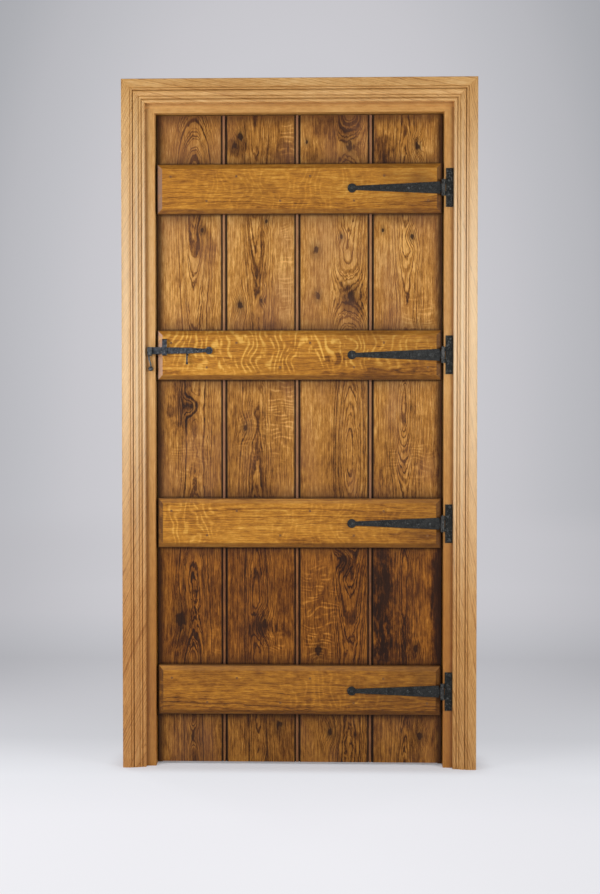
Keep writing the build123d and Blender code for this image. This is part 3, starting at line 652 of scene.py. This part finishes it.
# A painted light falloff: how light the boards are made, at heights in parts of leaf_reach.
leaf_reach = 2.0
stain_uptake = [
    (0.02, 0.40),
    (0.14, 0.35),
    (0.26, 0.30),
    (0.42, 0.50),
    (0.62, 0.58),
    (0.8, 0.68),
    (0.93, 0.58),
    (1.0, 0.5),
]
ledge_heights = [
    (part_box(f"ledge_{n}")[0][2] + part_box(f"ledge_{n}")[1][2]) / 2 for n in (1, 2, 3, 4)
]
waxed_relief = 0.0008
haze_brown = paint(146, 98, 70)
low_panel_tint = paint(255, 240, 204)
grime_and_shade_brown = paint(62, 34, 20)
crevice_shadow_dark = paint(36, 19, 10)
joint_dark_and_shade = paint(30, 15, 8)
worn_bead_highlight = paint(158, 114, 88)

# Where a mark sets in and where it is full, in metres: from the middle line of
# what it lies on, from a joint, behind the face, or up from the floor.
front_reach = (0.011, 0.008)
low_panel_middle = 0.49
low_panel_reach = (0.25, 0.17)
ledge_grime_and_shade = (0.125, 0.07)
ledge_crevice_shadow = (0.0835, 0.0755)
side_shade = (0.395, 0.432)
side_crevice_shadow = (0.412, 0.430)
top_shade = (1.93, 1.97)
seam_reach = (0.0026, 0.0006)
joint_shadow = (0.0066, 0.002)
bead_middle = 0.0048
bead_reach = (0.0056, 0.0026)
quirk_middle = 0.0124
quirk_reach = (0.0050, 0.0022)

for number, board in enumerate(boards):
    stained, point, (x, y, z), colour, height, _ = oak(
        f"stained_oak_{number + 1}",
        "Z",
        stain_tones,
        21.0 + 6.3 * number,
        board["heart"],
        board["depth"],
        0.0,
        ring=0.0036,
        lines=board["lines"],
        streaks=0.7,
        crisp=1.35,
        bar=0.012,
        wobble=0.014,
        pores=0.2,
        uptake=stain_uptake,
        uptake_reach=leaf_reach,
        knots=board["knots"],
        smoke=board["smoke"],
        flecks=board["flecks"],
    )
    cloud_shift = (number * 3.3, 0.0, 1.0)
    cloud = stained.noise(stained.stretch(point, (7.0, 7.0, 5.0), cloud_shift), 1.0, 3.0)
    haze_shift = (number * 1.9, 0.0, 7.0)
    haze = stained.noise(stained.stretch(point, (9.0, 9.0, 4.0), haze_shift), 1.0, 2.0)
    low_panel = abs(z - low_panel_middle).rise(*low_panel_reach)
    haze = haze.rise(0.42, 0.72) * (0.38 - 0.30 * low_panel)
    colour = stained.blend(colour, haze_brown, haze)
    colour = stained.blend(colour, low_panel_tint, low_panel, "MULTIPLY")

    # On the ledged side alone: dirt and painted shade by the ledges, painted shade along the sides
    # and the top, and a painted contact shadow in the crevices.
    face_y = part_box(f"board_{number + 1}")[0][1]
    front = (y - face_y).rise(*front_reach)
    to_ledge = abs(z - ledge_heights[0])
    for ledge_height in ledge_heights[1:]:
        to_ledge = to_ledge.least(abs(z - ledge_height))
    grime_and_shade = to_ledge.rise(*ledge_grime_and_shade) * (0.12 + 0.85 * cloud) * front
    edge_shade = (abs(x).rise(*side_shade) * 0.75).most(z.rise(*top_shade) * 0.7)
    grime_and_shade = grime_and_shade.most(edge_shade * front)
    crevice_shadow = to_ledge.rise(*ledge_crevice_shadow).most(abs(x).rise(*side_crevice_shadow)) * front
    colour = stained.blend(colour, grime_and_shade_brown, grime_and_shade * 0.9)
    colour = stained.blend(colour, crevice_shadow_dark, crevice_shadow * 0.6)

    from_left = x - board["left"]
    to_right = board["right"] - x
    # The dark joint itself, and painted shade along it.
    seam = from_left.least(to_right).rise(*seam_reach)
    colour = stained.blend(colour, joint_dark_and_shade, seam * 0.8)
    if number < len(boards) - 1:
        # A painted shadow along the joint on each board's right side.
        shadow = to_right.rise(*joint_shadow)
        colour = stained.blend(colour, joint_dark_and_shade, shadow * front * 0.9)
    if number > 0:
        # A painted shade in the bead's quirk, and a bead crown that is worn and carries a painted
        # highlight, more above the middle.
        bead_quirk_shade = abs(from_left - quirk_middle).rise(*quirk_reach)
        bead_top = abs(from_left - bead_middle).rise(*bead_reach)
        bead_wear_and_highlight = 0.28 + 0.34 * z.rise(0.66, 0.82)
        colour = stained.blend(colour, joint_dark_and_shade, bead_quirk_shade * front * 0.92)
        colour = stained.blend(colour, worn_bead_highlight, bead_top * front * bead_wear_and_highlight)
    sheen = 0.42 + 0.14 * cloud
    waxed = stained.coat(colour, sheen, height, waxed_relief, Specular_IOR_Level=0.2)
    dress(f"board_{number + 1}", waxed)

# Ledges: four bevelled cross pieces of golden oak, grain level, laid across
# the boards and fixed to each with cut nails. Smoke and ray flecks are
# written as they are for the boards. Their bevels carry painted light:
# painted sheen or shade on the left ends, painted shade on the right ends,
# on the feet and round the edges, and painted tops set by the ledge's height.
# Each ledge lists painted light for two bevels: the two upper ledges have a painted sheen on the
# left end bevel and a darker top bevel, the two lower ones a painted shade on the left end bevel
# and a lighter top bevel.
ledges = (
    {
        "heart": 0.16,
        "tone": 0.44,
        "end_bevel_lighting": paint(84, 50, 24),
        "top_bevel_lighting": paint(176, 128, 74),
        "smoke": [(0.38, 0.232, 0.08, 0.03, 0.1)],
        "flecks": [(0.1, 0.232, 0.2, 0.06, 0.14)],
    },
    {
        "heart": 0.80,
        "tone": 0.54,
        "end_bevel_lighting": paint(80, 46, 22),
        "top_bevel_lighting": paint(168, 120, 72),
        "smoke": [(0.34, 0.700, 0.10, 0.02, 0.16), (-0.02, 0.690, 0.10, 0.012, 0.14)],
        "flecks": [(-0.33, 0.740, 0.1, 0.08, 0.24), (0.1, 0.740, 0.3, 0.08, 0.1)],
    },
    {
        "heart": 1.20,
        "tone": 0.56,
        "end_bevel_lighting": paint(196, 160, 140),
        "top_bevel_lighting": paint(120, 78, 28),
        "smoke": [
            (0.11, 1.236, 0.035, 0.018, 0.28),
            (0.27, 1.192, 0.20, 0.016, 0.25),
            (0.37, 1.215, 0.06, 0.03, 0.2),
        ],
        "flecks": [(-0.16, 1.260, 0.36, 0.075, 0.36), (0.25, 1.262, 0.2, 0.06, 0.25)],
    },
    {
        "heart": 1.66,
        "tone": 0.56,
        "end_bevel_lighting": paint(150, 120, 104),
        "top_bevel_lighting": paint(130, 86, 32),
        "smoke": [(0.36, 1.700, 0.12, 0.02, 0.14)],
        "flecks": [(0.0, 1.748, 0.3, 0.08, 0.12)],
    },
)
golden_tones = (paint(58, 30, 8), paint(144, 88, 24), paint(201, 136, 43), paint(238, 185, 87))
right_end_shade = paint(74, 44, 18)
foot_shade_brown = paint(104, 64, 24)
rim_shade_dark = paint(54, 30, 14)
dirt_and_shade_brown = paint(88, 50, 14)
ledge_depth = [(-0.43, 0.06), (0.0, 0.08), (0.43, 0.055)]
ledge_bevel = 0.0156
bevel_edge = 0.0146
bevel_side = (0.02, 0.01)
mitre_blur = 0.0004
rim_reach = (0.0032, 0.0004)
right_rim_reach = (0.0055, 0.0025)
ledge_arris = 0.0009

for number, ledge in enumerate(ledges):
    golden, point, (x, _, z), colour, height, shade = oak(
        f"golden_oak_{number + 1}",
        "X",
        golden_tones,
        61.0 + 7.7 * number,
        ledge["heart"],
        ledge_depth,
        ledge["tone"],
        ring=0.0054,
        lines=0.36,
        streaks=0.65,
        crisp=1.3,
        wobble=0.016,
        pores=0.12,
        reach=0.05,
        bar=0.023,
        gap=0.36,
        flecks=ledge["flecks"],
        smoke=ledge["smoke"],
    )
    low_corner, high_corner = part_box(f"ledge_{number + 1}")
    to_end = high_corner[0] - x
    from_end = (x - low_corner[0]).least(to_end)
    from_foot = z - low_corner[2]
    from_top = high_corner[2] - z
    from_edge = from_foot.least(from_top)
    end_bevel_lighting = from_end.rise(ledge_bevel, bevel_edge)
    end_bevel_lighting = end_bevel_lighting * (from_edge - from_end).rise(-mitre_blur, mitre_blur)
    long_bevel = from_edge.rise(ledge_bevel, bevel_edge)
    long_bevel = long_bevel * (from_end - from_edge).rise(-mitre_blur, mitre_blur)
    foot_bevel_shade = long_bevel * from_foot.rise(*bevel_side)
    top_bevel_lighting = long_bevel * from_top.rise(*bevel_side)
    left = x.rise(0.1, -0.1)
    patchy = golden.noise(golden.stretch(point, (60.0, 60.0, 40.0)), 1.0, 2.0).rise(0.3, 0.6)
    # The left end bevel takes the ledge's painted sheen or shade, mottled; the right end bevel
    # gets painted shade.
    colour = golden.blend(colour, ledge["end_bevel_lighting"], end_bevel_lighting * left * (0.45 + 0.4 * patchy))
    colour = golden.blend(colour, right_end_shade, end_bevel_lighting * (1.0 - left) * 0.72)
    # Painted shade on the foot bevel, and the ledge's painted top bevel colour.
    colour = golden.blend(colour, foot_shade_brown, foot_bevel_shade * 0.6)
    colour = golden.blend(colour, ledge["top_bevel_lighting"], top_bevel_lighting * 0.4)
    # A painted shade line round the edges, deepest at the right end.
    rim_shade = from_edge.least(from_end).rise(*rim_reach).most(to_end.rise(*right_rim_reach) * 1.4)
    colour = golden.blend(colour, rim_shade_dark, rim_shade * 0.6)
    dirt_shift = (number * 2.1, 0.0, 3.0)
    dirt_and_shade = golden.noise(golden.stretch(point, (5.0, 5.0, 11.0), dirt_shift), 1.0, 3.0)
    # Dirt in patches, and a painted shade that deepens towards the right.
    right = x.rise(0.05, 0.43)
    dirt_and_shade = dirt_and_shade.rise(0.45, 0.75) * (0.2 + 0.3 * right) + right * 0.27
    colour = golden.blend(colour, dirt_and_shade_brown, dirt_and_shade)
    sheen = 0.36 + 0.1 * shade
    waxed = golden.coat(colour, sheen, height, waxed_relief, Specular_IOR_Level=0.25)
    dress(f"ledge_{number + 1}", waxed, ledge_arris)

# Cut nails: square iron heads punched flush in the ledges and in the head of
# the lining, and stained to the brown of the oak round them.
nail_iron = Finish("nail_iron")
point, *_ = nail_iron.place()
rust = nail_iron.noise(point, 400.0, 4.0)
colour = nail_iron.ramp(rust, [(0.3, paint(96, 60, 26)), (0.7, paint(150, 100, 46))])
stained_nail = nail_iron.coat(colour, 0.6, rust, 0.0002, Metallic=0.1)
for node in ("ledge_nails", "head_nails"):
    dress(node, stained_nail)


# T-hinges: black waxed wrought iron, the straps drawn down to a penny end,
# hammered all over, nailed through the leaf and the jamb with rose heads.
hinge_axis_x = 0.432
knuckle_reach = (0.0064, 0.0056)
worn_and_sheen_bright = paint(168, 170, 168)
iron_arris = 0.0005
fine_arris = 0.0004
nail_arris = 0.0003
hammer_relief = 0.0014


def forged(name, dark, light, hammer, roughness, speckle, knuckle_sheen=0.0):
    """Black iron: hammer marks of about 1 / hammer metres, forge scale, specks worn
    bright, and a mottled painted highlight down a knuckle."""
    iron = Finish(name)
    point, x, _, _ = iron.place()
    marks = {"Vector": point, "Scale": hammer, "Smoothness": 0.6}
    dents = iron.node("ShaderNodeTexVoronoi", {"feature": "SMOOTH_F1"}, marks)
    scale_skin = iron.noise(point, 900.0, 4.0, 0.6)
    cloud = iron.noise(point, 90.0, 3.0, 0.6)
    worn_and_sheen = iron.noise(point, 260.0, 3.0, 0.6).rise(0.56, 0.68) * speckle
    colour = iron.ramp(cloud * 0.7 + scale_skin * 0.3, [(0.36, dark), (0.66, light)])
    if knuckle_sheen:
        # A mottled painted highlight down the knuckle.
        knuckle_highlight = iron.noise(point, 200.0, 3.0, 0.7).rise(0.40, 0.60)
        worn_and_sheen = worn_and_sheen.most(abs(x - hinge_axis_x).rise(*knuckle_reach) * knuckle_highlight * knuckle_sheen)
    colour = iron.blend(colour, worn_and_sheen_bright, worn_and_sheen)
    sheen = roughness + (scale_skin - 0.5) * 0.25
    height = dents * 0.7 + scale_skin * 0.3
    skin = {"Metallic": 0.35, "Specular_IOR_Level": 0.35}
    return iron.coat(colour, sheen, height, hammer_relief, **skin)


strap_iron = forged("strap_iron", paint(26, 27, 27), paint(51, 52, 51), 170.0, 0.5, 0.12, 0.18)
# The flap is a darker copy of the strap iron: painted shade.
shaded_flap_iron = forged("shaded_flap_iron", paint(12, 13, 12), paint(39, 41, 38), 210.0, 0.45, 0.3, 0.16)
pin_iron = forged("worn_iron", paint(28, 29, 29), paint(74, 76, 74), 240.0, 0.38, 0.5)
for number in (1, 2, 3, 4):
    dress(f"hinge_strap_{number}", strap_iron, iron_arris)
    dress(f"hinge_flap_{number}", shaded_flap_iron, iron_arris)
    dress(f"hinge_pin_{number}", pin_iron, fine_arris)
nail_head_iron = forged("nail_head_iron", paint(26, 26, 26), paint(84, 87, 86), 240.0, 0.36, 0.5)
for node in ("strap_nails", "flap_nails"):
    dress(node, nail_head_iron, nail_arris)

# Latch: a forged bar on a screw, lifted through its staple and dropped into
# the keep on the jamb. Blue-black forge scale with hammer marks.
latch_iron = forged("forged_latch_iron", paint(20, 23, 28), paint(70, 76, 84), 170.0, 0.36, 0.4)
keep_iron = forged("forged_keep_iron", paint(28, 30, 33), paint(104, 108, 110), 190.0, 0.34, 0.45)
for node in ("latch_bar", "latch_pivot_screw", "latch_staple", "thumb_lever"):
    dress(node, latch_iron, iron_arris)
dress("latch_keep", keep_iron, iron_arris)

# Far side: a bow handle on a nailed plate, of the same black iron as the
# straps, and the pin that the thumb lever turns on.
for node in ("handle_plate", "handle_grip", "handle_nails", "thumb_lever_pin"):
    dress(node, strap_iron, fine_arris)
